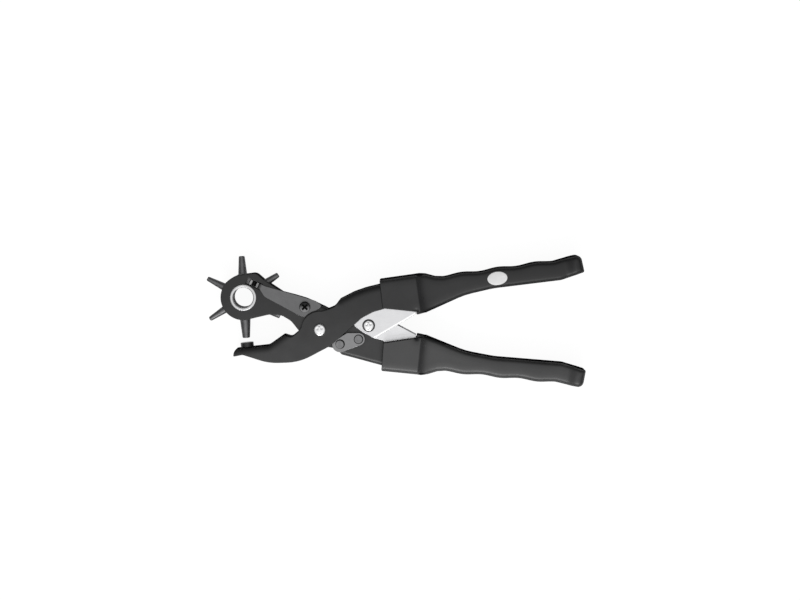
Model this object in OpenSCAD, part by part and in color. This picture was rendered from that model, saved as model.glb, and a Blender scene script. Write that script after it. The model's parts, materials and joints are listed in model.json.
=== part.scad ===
// Rotary hole punch with a compound lever, lying flat on its rear side.
// X runs from the turret towards the handles, Y across the tool, Z up out of its front.
// Places are measured from the main pivot, on the mid-plane. Millimetres and degrees.

/* [Linkage] */
// Handle pivot, along X from the main pivot
handle_pivot_x = 32.1; // [30:0.1:35]
// Handle pivot, along Y from the main pivot
handle_pivot_y = 2.7; // [1.5:0.1:4.5]
// Pin of the jaw's tail, along X from the main pivot
tail_pin_x = 13.3; // [12.5:0.1:14.5]
// Pin of the jaw's tail, along Y from the main pivot
tail_pin_y = -9.6; // [-10.4:0.1:-8.4]
// Pin of the lower lever, along X from the main pivot
lever_pin_x = 25.4; // [24.5:0.1:26.7]
// Pin of the lower lever, along Y from the main pivot
lever_pin_y = -6.4; // [-7.2:0.1:-5.2]
// Turn of the lower handle from rest to closed
squeeze_close = 5; // [3:0.1:5.5]
// Turn of the lower handle from rest to fully open
squeeze_open = 2.5; // [1:0.1:2.8]

/* [Turret] */
// Turret axis, along X from the main pivot
turret_x = -50.3; // [-56:0.1:-47]
// Turret axis, along Y from the main pivot
turret_y = 21.1; // [19:0.1:24]
// Radius of the round head of the jaw
head_r = 14.9; // [14.6:0.1:17]
// Radius of the turret wheel
wheel_r = 14.2; // [14:0.1:14.5]
// Direction of the active tube
tube_angle = 273; // [268:0.5:276]
// Distance of the tube tips from the turret axis
tube_reach = 27; // [24:0.1:29]
// Distance of the tube collars' seats from the turret axis
tube_seat = 13.4; // [12.5:0.1:13.8]
// Height of a tube's collar
collar_h = 1.5; // [1:0.1:2]
// Radius of a tube's collar
collar_r = 3.7; // [3.5:0.1:4.2]
// Length of a tube's screwed shank
shank_len = 4.4; // [3:0.1:5]
// Wall of the screwed shank round the widest bore
shank_wall = 0.9; // [0.6:0.1:1.2]
// Diameter of the largest hole that is punched
largest_hole = 4; // [3.6:0.1:4.4]
// Step between two hole sizes
hole_step = 0.5; // [0.3:0.05:0.55]
// Flat land round the cutting edge
tip_land = 0.4; // [0.2:0.05:0.5]
// Least diameter of a tube's tip
tip_least = 2.9; // [2.5:0.1:3.2]
// How much wider a cone is at its collar than at its tip
cone_taper = 2; // [1.5:0.1:2.5]
// Depth of a detent notch in the wheel's face
notch_depth = 0.9; // [0.7:0.1:1.5]

/* [Eyelet] */
// Radius of the open bore
eyelet_bore_r = 6.6; // [5.5:0.1:7]
// Wall of the barrel
eyelet_wall = 1; // [0.8:0.1:1.2]
// How far the flange reaches past the barrel
flange_reach = 1.2; // [0.8:0.1:1.8]
// Thickness of the flange
flange_h = 0.8; // [0.5:0.1:1.2]
// Radius of the window that lets the punched discs out
window_r = 2.2; // [1.5:0.1:2.6]

/* [Anvil jaw] */
// Radius of the anvil
anvil_r = 4.3; // [3.5:0.1:5]
// Height of the anvil over its seat
anvil_h = 3.3; // [2.5:0.1:4]
// Radius of the anvil's stem
stem_r = 2; // [1.5:0.1:2.5]
// Gap that is left between the tip and the anvil when closed
closed_gap = 0.35; // [0.3:0.05:0.6]
// Radius of the frame's edge round the main pivot
arm_arc_r = 12.3; // [11.6:0.1:12.8]
// Depth of the belly under the main pivot
belly_y = 21.8; // [20.5:0.1:24]

/* [Sheets] */
// Width inside the turret jaw, which is also the lever's outer width
core_w = 10.4; // [10:0.1:12]
// Sheet of the turret jaw
jaw_sheet = 2; // [1.5:0.1:2.5]
// Sheet of the frame
frame_sheet = 2; // [1.5:0.1:2.5]
// Sheet of the lower lever
lever_sheet = 2; // [1.5:0.1:2.2]
// Sheet of the pivot leaves
leaf_sheet = 1; // [0.8:0.1:1.3]
// Sheet of the links
link_sheet = 1.4; // [1:0.1:1.8]
// Radius of the jaw's hub round the main pivot
hub_r = 10.5; // [9.5:0.1:11]
// Radius of the tail's end
tail_end_r = 3.4; // [3:0.1:3.6]
// Radius of a link's end at the lever
link_end_r = 4.2; // [3.8:0.1:4.6]

/* [Rivets] */
// Radius of the main rivet's shank
main_rivet_r = 3; // [2.5:0.1:3.5]
// Radius of the main rivet's head
main_head_r = 4; // [3.8:0.1:5]
// Radius of the handle rivet's shank
handle_rivet_r = 2.5; // [2:0.1:2.8]
// Radius of the handle rivet's head
handle_head_r = 3.55; // [3.2:0.05:4]
// Height of the handle rivet's head
handle_head_h = 1.2; // [0.8:0.1:1.6]
// Radius of the handle rivet's washer
washer_r = 4.2; // [4:0.1:4.8]
// Thickness of the handle rivet's washer
washer_h = 0.4; // [0.3:0.1:0.8]
// Radius of the link pins
pin_r = 2; // [1.6:0.1:2.2]
// Radius of the link pins' heads
pin_head_r = 3.1; // [2.6:0.1:3.4]
// Height of the link pins' heads
pin_head_h = 0.4; // [0.3:0.1:0.6]
// Radius of the rivets that hold the leaves
leaf_rivet_r = 2; // [1.5:0.1:2.4]
// Radius of the dowel that holds the tail
dowel_r = 2; // [1.5:0.1:2.2]

/* [Index spring] */
// Spring screw, along X from the main pivot
screw_x = -9.8; // [-11:0.1:-9]
// Spring screw, along Y from the main pivot
screw_y = 15; // [14.8:0.1:16]
// Thickness of the index spring
index_sheet = 0.8; // [0.5:0.1:1]
// Width of the index spring's tongue
tongue_w = 3.2; // [2.5:0.1:3.6]
// Distance of the detent notches from the turret axis
notch_reach = 11.6; // [11:0.1:12.2]
// Angle from a tube to the next detent notch
notch_turn = 18.5; // [16:0.5:22]
// Radius of the screw's thread
screw_r = 2; // [1.5:0.1:2.2]
// Radius of the screw's head
screw_head_r = 3.55; // [3.2:0.05:4]
// Height of the screw's head
screw_head_h = 1.3; // [1:0.1:1.6]
// Wall of the spacer between the cheeks
spacer_wall = 0.9; // [0.8:0.1:1.6]
// Width across the flats of the nut
nut_w = 7; // [6.5:0.1:8]
// Height of the nut
nut_h = 2.4; // [2:0.1:3]

/* [Handles] */
// Direction of the upper handle
upper_angle = 8; // [7:0.1:10]
// Direction of the lower handle
lower_angle = -5.7; // [-8:0.1:-5]
// Distance of the grips' mouths from the handle pivot
mouth_x = 11.5; // [10.5:0.1:13]
// Length of a grip's thick mouth
mouth_len = 25; // [23:0.1:28]
// Length of a grip
grip_len = 133.7; // [120:0.1:145]
// Outer edge of a grip's mouth, from the handle's axis
mouth_top = 28.9; // [28:0.1:30.4]
// Outer edge of a grip's handle, from the handle's axis
grip_top = 24.9; // [24:0.1:26]
// Inner edge of a grip's handle, from the handle's axis
grip_inner = 12.4; // [11.6:0.1:12.8]
// Height of the finger waves
wave_h = 1.1; // [0.5:0.1:1.8]
// Number of finger waves
wave_count = 3; // [2:1:4]
// Wall of a grip's mouth over the frame
grip_wall = 1.6; // [1.2:0.1:2.4]
// Thickness of a grip's handle
grip_w = 16; // [15.4:0.1:18]
// Thickness of a grip's flared end
flare_w = 20.4; // [17:0.1:21]
// Outer width of the frame's tang in the grip
tang_w = 12.4; // [11:0.1:13]
// Cover of the grip over the tang's edges
tang_cover = 2.8; // [2:0.1:3.2]
// Cover of the grip's mouth over the arm's edge
mouth_cover = 3.2; // [2.6:0.1:4]
// Height of the arm that a pivot leaf laps over
leaf_lap = 8; // [7:0.1:9]

/* [Return spring] */
// Diameter of the spring's wire
wire_d = 1.1; // [0.8:0.1:1.2]
// Mean radius of the spring's coil
coil_r = 4; // [3.6:0.1:4.5]
// Distance between two turns
coil_pitch = 1.6; // [1.55:0.01:1.7]

/* [Fits] */
// Gap between plates that slide past each other
side_play = 0.15; // [0.1:0.01:0.25]
// Radial gap of a pin that turns in its hole
run_fit = 0.05; // [0.02:0.01:0.1]
// Radial gap of a pin that is fixed in its hole
seat_fit = 0.02; // [0.01:0.01:0.05]
// Radial gap of the tail pin in the links, the linkage's open pivot
open_fit = 0.15; // [0.12:0.01:0.25]
// Gap round pieces that sweep past each other
sweep_gap = 0.5; // [0.4:0.05:0.8]
// Gap between a grip and the steel inside it
grip_fit = 0.1; // [0.05:0.01:0.2]

/* [Hidden] */
$fn = 64;
arc_step = 6;
far = 300;
tubes = 6;
// Place of each tube in the order of hole sizes, counted round from the active tube
size_order = [0, 1, 3, 2, 4, 5];

charcoal = [0.23, 0.23, 0.24];
moulded_black = [0.17, 0.17, 0.18];
bright_steel = [0.86, 0.86, 0.87];
grey_steel = [0.55, 0.55, 0.56];
dark_steel = [0.33, 0.33, 0.34];

// Vectors and angles
function dir(a) = [cos(a), sin(a)];
function turned(p, a) = [p.x * cos(a) - p.y * sin(a), p.x * sin(a) + p.y * cos(a)];
function angle_of(p) = atan2(p.y, p.x);
function unit(v) = v / norm(v);
function flat(p) = [p.x, p.y];
function wrapped(a) = a - 360 * round(a / 360);

// The pivots
handle_pivot = [handle_pivot_x, handle_pivot_y];
tail_pin = [tail_pin_x, tail_pin_y];
lever_pin = [lever_pin_x, lever_pin_y];
turret = [turret_x, turret_y];
screw = [screw_x, screw_y];

// The linkage: the jaw's and the link's turn for a turn of the handle, as one mean ratio each
tail_len = norm(tail_pin);
link_len = norm(lever_pin - tail_pin);
function lever_pin_at(s) = handle_pivot + turned(lever_pin - handle_pivot, s);
function tail_angle_to(q) =
    angle_of(q) - acos((tail_len ^ 2 + q * q - link_len ^ 2) / (2 * tail_len * norm(q)));
function tail_angle(s) = tail_angle_to(lever_pin_at(s));
function link_angle(s) = angle_of(lever_pin_at(s) - tail_len * dir(tail_angle(s)));
squeeze_range = squeeze_close + squeeze_open;
jaw_ratio = (tail_angle(squeeze_close) - tail_angle(-squeeze_open)) / squeeze_range;
link_ratio = (link_angle(squeeze_close) - link_angle(-squeeze_open)) / squeeze_range - 1;
jaw_close = jaw_ratio * squeeze_close;
// The tail pin as the lever sees it at a turn of the handle
function tail_pin_seen(s) = lever_pin + turned(tail_pin - lever_pin, link_ratio * s);

// Layers, as distances from the mid-plane
core = core_w / 2;
wheel_half = core - 2 * side_play;
jaw_outer = core + jaw_sheet;
link_inner = core + side_play;
link_outer = link_inner + link_sheet;
pin_head_z = link_outer + side_play / 2;
leaf_outer = core + leaf_sheet;
frame_inner = side_play + max(jaw_outer, leaf_outer + leaf_sheet, pin_head_z + pin_head_h);
frame_outer = frame_inner + frame_sheet;
mouth_half = frame_outer + grip_wall;
lever_inner = core - lever_sheet;
spring_half = lever_inner - side_play;

// Places on the handles: x along the handle, y outwards, away from the other handle
crease_x = mouth_x + mouth_len;
end_x = mouth_x + grip_len;
slot_end = crease_x - 4.3;
slot_low = mouth_top - 24.2;
nub_low = mouth_top - 25.6;
nub_half = 6;
before_mouth = mouth_x - 5;
function on_upper(p) = handle_pivot + turned(p, upper_angle);
function on_lower(p) = handle_pivot + turned([p.x, -p.y], lower_angle);
function upper_corner(p) = concat(on_upper(p), p[2]);

// Round corners: a point is [x, y, corner radius], and a corner becomes an arc
function corner_arc(a, b, c, r) =
    let (u = unit(flat(a) - flat(b)), v = unit(flat(c) - flat(b)), half = acos(u * v) / 2)
    let (room = 0.49 * min(norm(flat(a) - flat(b)), norm(flat(c) - flat(b))))
    let (t = min(r / tan(half), room), rr = t * tan(half))
    let (m = flat(b) + unit(u + v) * rr / sin(half))
    let (start = angle_of(flat(b) + u * t - m), finish = angle_of(flat(b) + v * t - m))
    let (sweep = wrapped(finish - start), steps = max(1, ceil(abs(sweep) / arc_step)))
    [for (i = [0:steps]) m + rr * dir(start + sweep * i / steps)];
function rounded(pts) =
    let (n = len(pts))
    [for (i = [0:n - 1]) let (p = pts[i])
        each (p[2] > 0 ? corner_arc(pts[(i + n - 1) % n], p, pts[(i + 1) % n], p[2]) : [flat(p)])];
function arc(m, r, from, to) =
    let (steps = ceil(abs(to - from) / arc_step))
    [for (i = [0:steps]) concat(m + r * dir(from + (to - from) * i / steps), 0)];
// A band of the given width to the right of a line of points
function side_of(a, b) = turned(unit(flat(b) - flat(a)), -90);
function inset_point(pts, i, d) =
    let (n = len(pts), before = side_of(pts[max(i - 1, 0)], pts[max(i, 1)]))
    let (after = side_of(pts[min(i, n - 2)], pts[min(i + 1, n - 1)]), m = unit(before + after))
    flat(pts[i]) + m * d / (m * after);
function band(pts, d) =
    let (n = len(pts))
    concat([for (p = pts) flat(p)], [for (i = [n - 1:-1:0]) inset_point(pts, i, d)]);

// The anvil lies where the active tube's tip comes down
tip_rest = turret + tube_reach * dir(tube_angle);
anvil_tilt = tube_angle - 270 + jaw_close;
anvil_top = turned(tip_rest, jaw_close) - closed_gap * dir(anvil_tilt + 90);
anvil_seat = anvil_top - anvil_h * dir(anvil_tilt + 90);
function on_seat(x, y) = anvil_seat + turned([x, y], anvil_tilt);

// Outlines on the handles
waves_from = crease_x + 16.5;
waves_to = end_x - 19;
wave_len = (waves_to - waves_from) / wave_count;
wave_steps = 12 * wave_count;
function wave_y(x) = grip_top + wave_h * (1 - cos(360 * (x - waves_from) / wave_len)) / 2;
grip_waves = [for (i = [wave_steps:-1:0])
    let (x = waves_from + (waves_to - waves_from) * i / wave_steps) [x, wave_y(x), 0]];
grip_outline = concat(
    [[mouth_x - 0.8, mouth_top - 18.8, 0.6],
     [slot_end, slot_low, 0.4],
     [slot_end, mouth_top - 26.4, 0.8],
     [crease_x + 2, nub_low, 8],
     [crease_x + 29, grip_inner - 1.4, 50],
     [crease_x + 48, grip_inner + 0.3, 50],
     [end_x - 15.5, grip_inner - 0.5, 12],
     [end_x, grip_inner + 2.8, 1.2],
     [end_x - 1, grip_top + 2, 4],
     [end_x - 8.5, grip_top + 1.5, 6]],
    grip_waves,
    [[crease_x + 11.5, grip_top + 0.8, 6],
     [crease_x + 5, mouth_top - 0.5, 4],
     [crease_x + 1, mouth_top, 4],
     [mouth_x - 0.3, mouth_top, 1.2]]);

// The steel in a grip: the arm in the mouth and the tang in the handle
arm_top = mouth_top - mouth_cover;
arm_low = mouth_top - 16.8;
tang_top = grip_top - tang_cover;
tang_low = grip_inner + tang_cover;
tang_end = end_x - 18;
function tang_outer(d) = [
    [mouth_x, arm_top + d, 0],
    [crease_x + 1.5, arm_top + d, 0],
    [crease_x + 13, tang_top + d, 0],
    [tang_end + d, tang_top + d, 0]];
function tang_inner(d) = [
    [tang_end + d, tang_low - d, 0],
    [crease_x + 12, tang_low - d, 0],
    [crease_x - 0.5, arm_low - d, 0],
    [mouth_x + 1.5, arm_low - d, 0]];

// The pivot leaf, widened by the given amount on its handle's side. The upper leaf goes on behind
// the frame's edge, and the lower leaf stops short of the lever's.
upper_tuck = 1.5;
lower_tuck = -0.4;
function leaf_outline(tuck) = [
    [-9.8 - tuck, 1.8 + tuck, 0.3],
    [-3.7 - tuck, 5.4 + tuck, 5],
    [4.3, 8.5 + tuck, 8],
    [mouth_x, 9.5 + tuck, 3],
    [mouth_x + 2, arm_low + leaf_lap, 1],
    [slot_end - 0.5, arm_low + leaf_lap, 1],
    [slot_end - 0.5, mouth_top - 25.7, 0.4],
    [3.6, -8.4, 1.6],
    [1.2, -8.2, 1.6]];
leaf_rivets = [[mouth_x + 6, arm_low + leaf_lap / 2], [slot_end - 6, arm_low + leaf_lap / 2]];

// The frame's side: the edge round the pivot, the anvil jaw and the upper arm
seat_reach = 7.6;
arm_line = concat(
    [[-16.2, 19.7, 4], [-6.4, 23.1, 20], [1.7, 24.7, 20]],
    tang_outer(0));
frame_outline = concat(
    arc([0, 0], arm_arc_r, 84, 172),
    [[-14, -1.2, 2],
     [-18.8, -5.2, 3],
     [-23.6, -3.4, 1.5],
     concat(on_seat(14.5, 0), 4),
     concat(on_seat(-seat_reach, 0), 2.4),
     concat(anvil_seat + [-8.6, -3.4], 1.2),
     concat(anvil_seat + [-8.8, -5.6], 0.6),
     concat(anvil_seat + [-2.6, -4.4], 4),
     [-33.5, -belly_y - 0.2, 35],
     [-13.5, -belly_y + 0.4, 35],
     concat(tail_pin + [-6.6, -1.1], 1),
     upper_corner([-3.7, 5.7, 6]),
     upper_corner([4.3, 8.6, 12]),
     upper_corner([mouth_x, 9.5, 1])],
    [for (i = [3:-1:0]) upper_corner(tang_inner(0)[i])],
    [for (i = [len(arm_line) - 1:-1:0]) upper_corner(arm_line[i])],
    [upper_corner([-20.3, 15.5, 4]),
     upper_corner([-24.6, 14.4, 3])]);
seat_line = [on_seat(-seat_reach, 0), on_seat(14.5, 0), [-23.6, -3.4]];

// The turret jaw's side: the round head, the arm and the hub. Its fold stays clear of the spacer.
spacer_r = screw_r + seat_fit + spacer_wall;
fold_y = screw.y + spacer_r + jaw_sheet + sweep_gap;
jaw_top_line = [
    [-24.5, 24.7], [screw.x - 6.2, fold_y + 2.1], [screw.x + 0.8, fold_y],
    [screw.x + 6.8, fold_y - 2.6], [3, 15], [7, 12.9]];
jaw_outline = concat(
    arc(turret, head_r, 95, 291),
    [[-33, 10, 12],
     [-25, 9.4, 8],
     [-18.8, 5.6, 8],
     [-12, -3, 2]],
    arc([0, 0], hub_r, 205, 358),
    [[9.3, 8, 3]],
    [for (i = [len(jaw_top_line) - 1:-1:0]) concat(jaw_top_line[i], 2)],
    [concat(turret + [13.6, 11.6], 6),
     concat(turret + [8.4, 16.2], 5)]);

// The lower lever's side
lever_line = concat([[-16, 21.1, 1.5]], tang_outer(0));
lever_outline = concat(
    [[-18, 18.6, 0.6]],
    lever_line,
    tang_inner(0),
    [[9, -0.5, 4],
     [4, -7.2, 3],
     [-4, -6.2, 3],
     [-15.6, 1.4, 2],
     [-15.6, 6.8, 1.6],
     [-13, 10.5, 2],
     [-13.4, 17.8, 1]]);

// The index spring: x from the screw along the tongue, y to the anvil's side
notch_angle = tube_angle - 240 + notch_turn;
notch = turret + notch_reach * dir(notch_angle);
tongue_line = notch - screw;
index_angle = angle_of(tongue_line);
notch_x = norm(tongue_line);
tongue_half = tongue_w / 2;
index_outline = [
    [-9.6, -5.4, 1.2],
    [-9.4, -3.5, 0.6],
    [-3, 6.2, 1],
    [1, 6.7, 2],
    [notch_x - 9.5, 4.9, 4],
    [notch_x - 4.6, tongue_half, 1.5],
    [notch_x + far, tongue_half, 0],
    [notch_x + far, -tongue_half, 0],
    [notch_x - 7, -tongue_half, 4],
    [5.6, -5.2, 12],
    [-5, -6.6, 6]];
// The tongue's bends seen from the side: flat, down to the notch and up again
dip_z = wheel_half - notch_depth + 0.4;
dip_half = 0.9;
dip_run = 3;
tongue_bends = [
    [-far, jaw_outer],
    [notch_x - dip_half - dip_run, jaw_outer],
    [notch_x - dip_half, dip_z],
    [notch_x + dip_half, dip_z],
    [notch_x + dip_half + 0.8 * dip_run, jaw_outer - 0.6]];
// The notch is as wide as the dip at the wheel's face, with a gap on each side
notch_half = dip_half + dip_run * (wheel_half - dip_z) / (jaw_outer - dip_z) + sweep_gap;

// The tool lies on its grips' mouths and on the main rivet's head, with its middle at the origin
mid_z = mouth_half;
tube_angles = [for (k = [0:tubes - 1]) tube_angle + 360 / tubes * k];
function hole_d(k) = largest_hole - hole_step * size_order[k];
function tip_r(k) = max(hole_d(k) / 2 + tip_land, tip_least / 2);
left_x = min([for (k = [0:tubes - 1])
    turret.x + tube_reach * cos(tube_angles[k]) - tip_r(k) * abs(sin(tube_angles[k]))]);
grip_edge = rounded(grip_outline);
right_x = max([for (p = grip_edge) max(on_upper(p).x, on_lower(p).x)]);
top_y = max([for (p = grip_edge) on_upper(p).y]);
low_y = min([for (p = grip_edge) on_lower(p).y]);

module placed() {
    translate([-(left_x + right_x) / 2, -(top_y + low_y) / 2, mid_z]) children();
}

// Placing helpers
module slab(from, to) {
    translate([0, 0, from]) linear_extrude(to - from) children();
}
module slab_pair(from, to) {
    slab(from, to) children();
    slab(-to, -from) children();
}
module upright(p, r, from, to) {
    translate([p.x, p.y, from]) cylinder(r = r, h = to - from);
}
module through(p, r) {
    upright(p, r, -far, far);
}
module on_handle(upper) {
    translate(handle_pivot)
        if (upper) rotate(upper_angle) children();
        else rotate(lower_angle) mirror([0, 1, 0]) children();
}
// A shape drawn in the x-z plane, drawn out across the tool
module across() {
    rotate([90, 0, 0]) linear_extrude(far, center = true) children();
}
// Outline of a strap round two pins
function strap(p, rp, q, rq) =
    let (a = angle_of(q - p), b = acos((rp - rq) / norm(q - p)))
    concat(arc(p, rp, a + b, a - b + 360), arc(q, rq, a - b, a + b));
module dome(r, h) {
    ball = (r ^ 2 + h ^ 2) / (2 * h);
    intersection() {
        translate([0, 0, h - ball]) sphere(ball);
        cylinder(r = r, h = h);
    }
}
// A rivet with a domed head at each end
module domed_rivet(p, r, head_z, head_r, head_h) {
    upright(p, r, -head_z, head_z);
    translate([p.x, p.y, head_z]) dome(head_r, head_h);
    translate([p.x, p.y, -head_z]) mirror([0, 0, 1]) dome(head_r, head_h);
}
// A rivet with a flat head at each end
module flat_rivet(p, r, head_z, head_r, head_h) {
    upright(p, r, -head_z, head_z);
    upright(p, head_r, head_z, head_z + head_h);
    upright(p, head_r, -head_z - head_h, -head_z);
}

// Frame: the anvil jaw and the upper arm, pressed from one sheet
joggle_from = crease_x - 3;
joggle_to = crease_x + 4;
joggle = frame_outer - tang_w / 2;
// The channel's half width along the arm, with the given gap round it
function channel_edge(z, d) = [
    [-far, z + d],
    [joggle_from, z + d],
    [joggle_to, z - joggle + d],
    [far, z - joggle + d]];
function flipped(pts) = [for (i = [len(pts) - 1:-1:0]) [pts[i].x, -pts[i].y]];
function reversed(pts) = [for (i = [len(pts) - 1:-1:0]) pts[i]];
module channel_hull(d) {
    on_handle(true) across()
        polygon(concat(channel_edge(frame_outer, d), flipped(channel_edge(frame_outer, d))));
}
module channel_sheet() {
    on_handle(true) across()
        polygon(concat(channel_edge(frame_outer, 0), reversed(channel_edge(frame_inner, 0))));
}
module frame_webs() {
    slab(-frame_outer, frame_outer) polygon(band(seat_line, frame_sheet));
    slab(-frame_outer, frame_outer)
        polygon(band([for (p = arm_line) on_upper(p)], frame_sheet));
}
module anvil_frame() {
    color(charcoal) placed() difference() {
        union() {
            intersection() {
                slab(0, frame_outer) polygon(rounded(frame_outline));
                channel_sheet();
            }
            intersection() {
                slab(-frame_outer, 0) polygon(rounded(frame_outline));
                mirror([0, 0, 1]) channel_sheet();
            }
            intersection() {
                slab(-frame_outer, frame_outer) polygon(rounded(frame_outline));
                frame_webs();
                channel_hull(0);
            }
        }
        through([0, 0], main_rivet_r + seat_fit);
        for (p = leaf_rivets) through(on_upper(p), leaf_rivet_r + seat_fit);
        anvil_axis() cylinder(r = stem_r + seat_fit, h = 3 * frame_sheet, center = true);
    }
}

// Anvil: a button whose stem is riveted through the frame
module anvil_axis() {
    translate(anvil_seat) rotate(anvil_tilt) rotate([-90, 0, 0]) children();
}
module anvil() {
    foot_h = 0.8;
    color(dark_steel) placed() anvil_axis() {
        cylinder(r = anvil_r, h = anvil_h);
        translate([0, 0, -frame_sheet]) cylinder(r = stem_r, h = frame_sheet);
        translate([0, 0, -frame_sheet - foot_h]) cylinder(r = stem_r + 0.8, h = foot_h);
    }
}

// Pivot leaves and what holds them
module leaf(upper, from, to) {
    color(bright_steel) placed() difference() {
        on_handle(upper) slab(from, to) polygon(rounded(leaf_outline(upper ? upper_tuck : lower_tuck)));
        through(handle_pivot, handle_rivet_r + (upper ? seat_fit : run_fit));
        for (p = leaf_rivets)
            through(upper ? on_upper(p) : on_lower(p), leaf_rivet_r + seat_fit);
    }
}
module upper_leaf_front() {
    leaf(true, frame_inner - leaf_sheet, frame_inner);
}
module upper_leaf_rear() {
    leaf(true, -frame_inner, -frame_inner + leaf_sheet);
}
module lower_leaf_front() {
    leaf(false, core, leaf_outer);
}
module lower_leaf_rear() {
    leaf(false, -leaf_outer, -core);
}
module upper_leaf_rivets() {
    color(grey_steel) placed()
        for (p = leaf_rivets) upright(on_upper(p), leaf_rivet_r, -frame_outer, frame_outer);
}
module lower_leaf_rivets() {
    color(grey_steel) placed()
        for (p = leaf_rivets) upright(on_lower(p), leaf_rivet_r, -leaf_outer, leaf_outer);
}

// Rivets of the two main pivots
module main_pivot_rivet() {
    color(bright_steel) placed()
        domed_rivet([0, 0], main_rivet_r, frame_outer, main_head_r, grip_wall);
}
module handle_pivot_rivet() {
    color(bright_steel) placed()
        domed_rivet(handle_pivot, handle_rivet_r, frame_inner + washer_h, handle_head_r, handle_head_h);
}
module handle_pivot_washers() {
    color(dark_steel) placed() difference() {
        union() {
            upright(handle_pivot, washer_r, frame_inner, frame_inner + washer_h);
            upright(handle_pivot, washer_r, -frame_inner - washer_h, -frame_inner);
        }
        through(handle_pivot, handle_rivet_r + seat_fit);
    }
}

// Turret jaw: two cheeks joined by the fold along the top
module tongue_slot() {
    translate(screw) rotate(index_angle)
        translate([notch_x - 5.2, -tongue_half - sweep_gap, core - side_play])
            cube([10.4, tongue_w + 2 * sweep_gap, jaw_sheet + 2 * side_play]);
}
module turret_jaw() {
    color(charcoal) placed() difference() {
        union() {
            slab_pair(core, jaw_outer) polygon(rounded(jaw_outline));
            difference() {
                intersection() {
                    slab(-jaw_outer, jaw_outer) polygon(band(jaw_top_line, jaw_sheet));
                    slab(-jaw_outer, jaw_outer) polygon(rounded(jaw_outline));
                }
                upright(turret, tube_reach + 2 * sweep_gap, -core, core);
            }
        }
        through([0, 0], main_rivet_r + run_fit);
        through(turret, eyelet_bore_r + eyelet_wall + seat_fit);
        through(screw, screw_r + seat_fit);
        through(dowel, dowel_r + seat_fit);
        tongue_slot();
    }
}

// Tail: the solid arm between the cheeks that the links pull on
dowel = (hub_r - dowel_r - 1) * dir(150);
module jaw_tail() {
    color(dark_steel) placed() difference() {
        slab(-core, core) polygon(rounded(strap([0, 0], hub_r, tail_pin, tail_end_r)));
        through([0, 0], main_rivet_r + run_fit);
        through(tail_pin, pin_r + seat_fit);
        through(dowel, dowel_r + seat_fit);
    }
}
module tail_dowel() {
    color(grey_steel) placed() upright(dowel, dowel_r, -jaw_outer, jaw_outer);
}

// Eyelet: the hollow rivet that the turret turns on, open to the active tube
module turret_eyelet() {
    barrel_r = eyelet_bore_r + eyelet_wall;
    color(bright_steel) placed() difference() {
        union() {
            upright(turret, barrel_r, -jaw_outer, jaw_outer);
            upright(turret, barrel_r + flange_reach, jaw_outer, jaw_outer + flange_h);
            upright(turret, barrel_r + flange_reach, -jaw_outer - flange_h, -jaw_outer);
        }
        through(turret, eyelet_bore_r);
        tube_axis(0) cylinder(r = window_r, h = barrel_r + flange_reach);
    }
}

// Index spring with its screw, spacer and nut
module index_spring() {
    color(grey_steel) placed() difference() {
        translate(screw) rotate(index_angle) difference() {
            intersection() {
                slab(0, jaw_outer + index_sheet) polygon(rounded(index_outline));
                across() polygon(band(tongue_bends, -index_sheet));
            }
            cylinder(r = screw_r + seat_fit, h = far);
        }
        upright([0, 0], arm_arc_r + sweep_gap, jaw_outer - side_play, far);
    }
}
module spring_screw() {
    head_z = jaw_outer + index_sheet;
    recess_w = 1.2;
    recess_l = 4.8;
    recess_h = 0.9;
    color(dark_steel) placed() difference() {
        union() {
            upright(screw, screw_r, -jaw_outer - nut_h, head_z);
            upright(screw, screw_head_r, head_z, head_z + screw_head_h);
        }
        for (a = [45, 135])
            translate([screw.x, screw.y, head_z + screw_head_h - recess_h / 2 + side_play])
                rotate(a) cube([recess_l, recess_w, recess_h + 2 * side_play], center = true);
    }
}
module spring_screw_spacer() {
    color(grey_steel) placed() difference() {
        upright(screw, spacer_r, -core, core);
        through(screw, screw_r + seat_fit);
    }
}
module spring_screw_nut() {
    color(grey_steel) placed() difference() {
        translate([screw.x, screw.y, -jaw_outer - nut_h])
            cylinder(d = nut_w / cos(30), h = nut_h, $fn = 6);
        through(screw, screw_r + seat_fit);
    }
}

// Turret: the wheel and its six tubes
module tube_axis(k) {
    translate(turret) rotate(tube_angles[k]) rotate([0, 90, 0]) children();
}
shank_r = largest_hole / 2 + shank_wall;
module turret_wheel() {
    notch_l = tongue_w + 2 * sweep_gap;
    color(dark_steel) placed() difference() {
        upright(turret, wheel_r, -wheel_half, wheel_half);
        through(turret, eyelet_bore_r + eyelet_wall + run_fit);
        for (k = [0:tubes - 1]) {
            tube_axis(k) cylinder(r = shank_r + seat_fit, h = far);
            tube_axis(k) translate([0, 0, tube_seat]) cylinder(r = collar_r + seat_fit, h = far);
            translate(turret + notch_reach * dir(notch_angle + 360 / tubes * k))
                rotate(index_angle + 360 / tubes * k)
                    translate([-notch_half, -notch_l / 2, wheel_half - notch_depth])
                        cube([2 * notch_half, notch_l, far]);
        }
    }
}
module punch_tube(k) {
    bore = hole_d(k) / 2;
    cone_from = tube_seat + collar_h;
    color(dark_steel) placed() tube_axis(k) rotate_extrude() polygon([
        [bore, tube_seat - shank_len],
        [shank_r, tube_seat - shank_len],
        [shank_r, tube_seat],
        [collar_r, tube_seat],
        [collar_r, cone_from],
        [tip_r(k) + cone_taper / 2, cone_from],
        [tip_r(k), tube_reach],
        [bore, tube_reach]]);
}
module punch_tube_1() { punch_tube(0); }
module punch_tube_2() { punch_tube(1); }
module punch_tube_3() { punch_tube(2); }
module punch_tube_4() { punch_tube(3); }
module punch_tube_5() { punch_tube(4); }
module punch_tube_6() { punch_tube(5); }

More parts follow.
